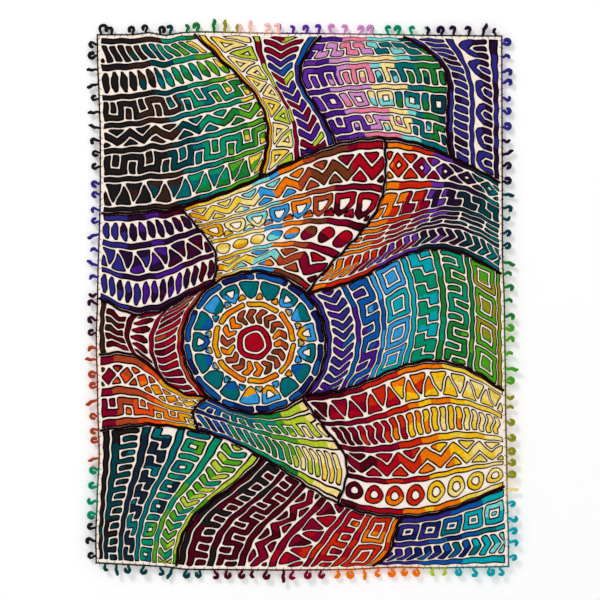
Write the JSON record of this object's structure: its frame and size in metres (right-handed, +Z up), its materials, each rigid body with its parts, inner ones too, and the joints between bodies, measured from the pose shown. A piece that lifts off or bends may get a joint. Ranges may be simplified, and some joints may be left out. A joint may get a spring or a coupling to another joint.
{
  "type": "embroidered tapestry wall hanging",
  "caption": "Upright rectangular embroidered cloth hanging with a thin cord round its edge and small curls of dyed yarn standing out of the cord on every side.",
  "frame": {"origin": "middle of the cloth's top edge, where the hanging is held", "axes": "+Z up, so that the cloth hangs down from z = 0; +X to the right as seen from the front; the face looks along -Y and the back along +Y"},
  "size_m": [0.4864, 0.008, 0.6325],
  "materials": {
    "stitched_cotton": "matte plain-woven cotton, closely stitched",
    "edging_yarn": "matte twisted yarn, dyed in changing colours",
    "stitch_thread": "satin-stitched cotton thread in many colours",
    "outline_thread": "matte dark thread"
  },
  "bodies": {
    "root": {"embroidered_panel": "stitched_cotton", "top_edging": "edging_yarn", "bottom_edging": "edging_yarn", "left_edging": "edging_yarn", "right_edging": "edging_yarn"}
  },
  "joints": []
}
